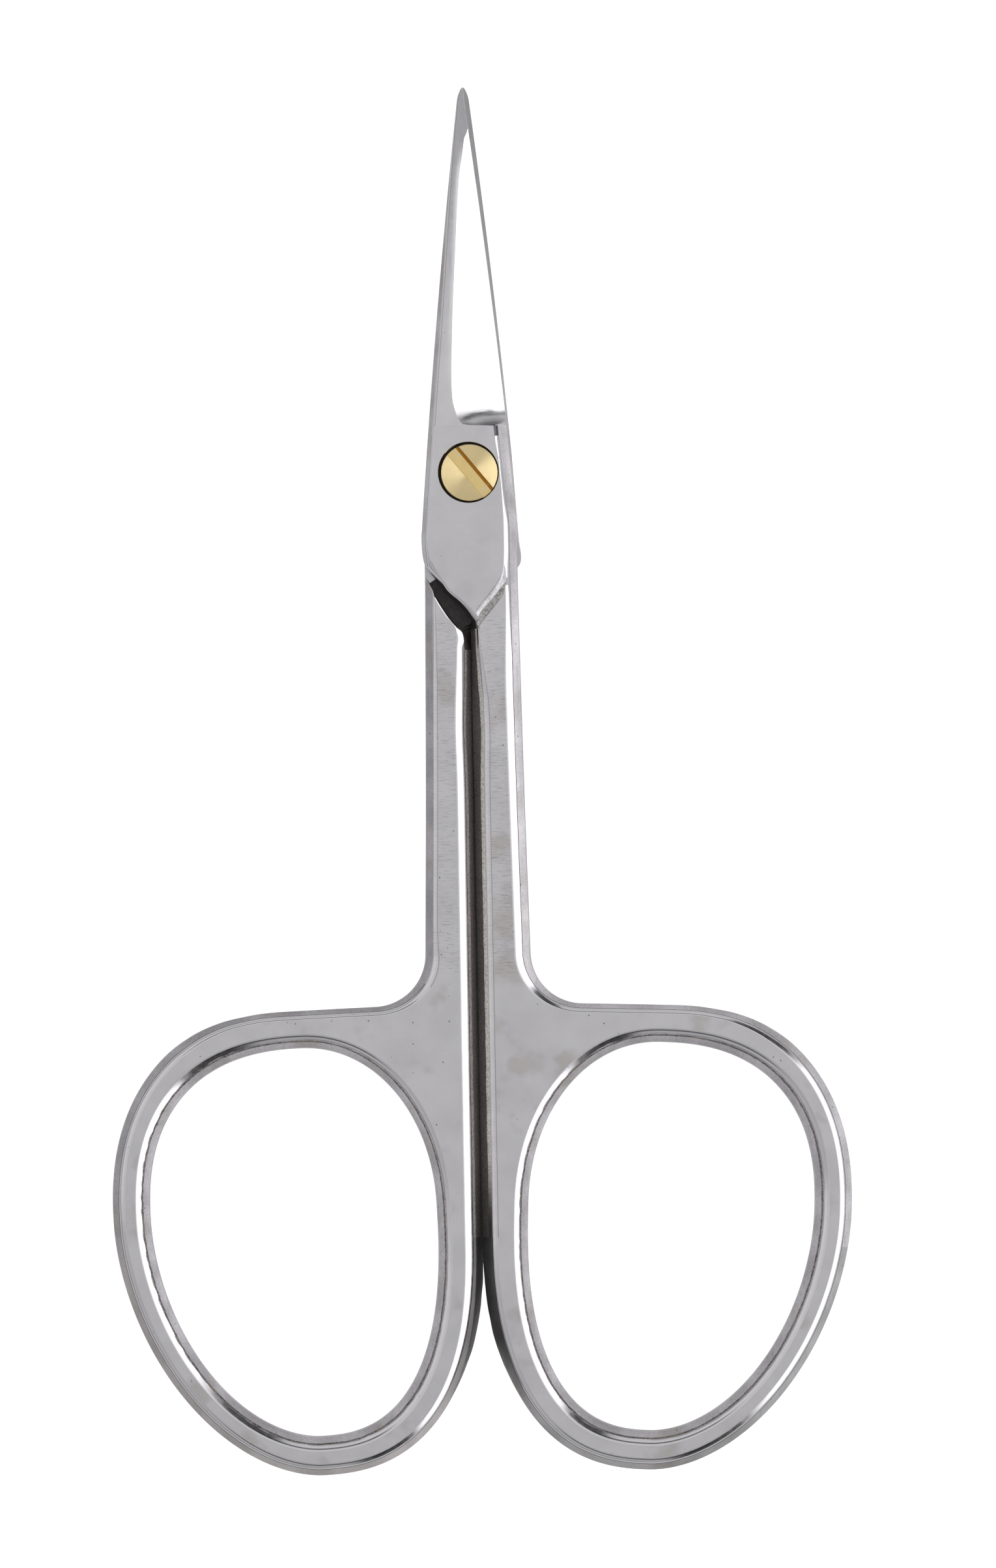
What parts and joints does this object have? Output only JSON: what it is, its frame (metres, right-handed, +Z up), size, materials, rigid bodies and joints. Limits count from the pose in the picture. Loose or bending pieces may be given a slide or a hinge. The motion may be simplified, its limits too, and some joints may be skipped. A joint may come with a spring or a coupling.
{
  "type": "cuticle scissors",
  "caption": "Small all-steel cuticle scissors with fine pointed blades, long slim shanks, oval finger bows and a slotted brass pivot screw.",
  "frame": {"origin": "centre of the bounding box in X and Y, on the plane of the rear joint's back face", "axes": "+Y towards the tips along the closed scissors, +Z up through the pivot towards the screw head, +X to the right seen from the screw head"},
  "size_m": [0.048, 0.09, 0.0046],
  "materials": {
    "polished_steel": "polished, with ground bevels and fine cross grinding lines",
    "brass": "turned, with concentric tool marks"
  },
  "bodies": {
    "rear_half": {"rear_arm": "polished_steel"},
    "front_half": {"front_arm": "polished_steel"},
    "screw": {"pivot_screw": "brass"}
  },
  "joints": [
    {"name": "main_pivot", "type": "hinge", "parent": "rear_half", "child": "front_half", "pos_m": [0, 0.02001, 0], "axis": [0, 0, 1], "range_deg": [0, 75]},
    {"name": "screw_adjust", "type": "hinge", "parent": "rear_half", "child": "screw", "pos_m": [0, 0.02001, 0], "axis": [0, 0, 1], "range_deg": [-45, 90]}
  ]
}
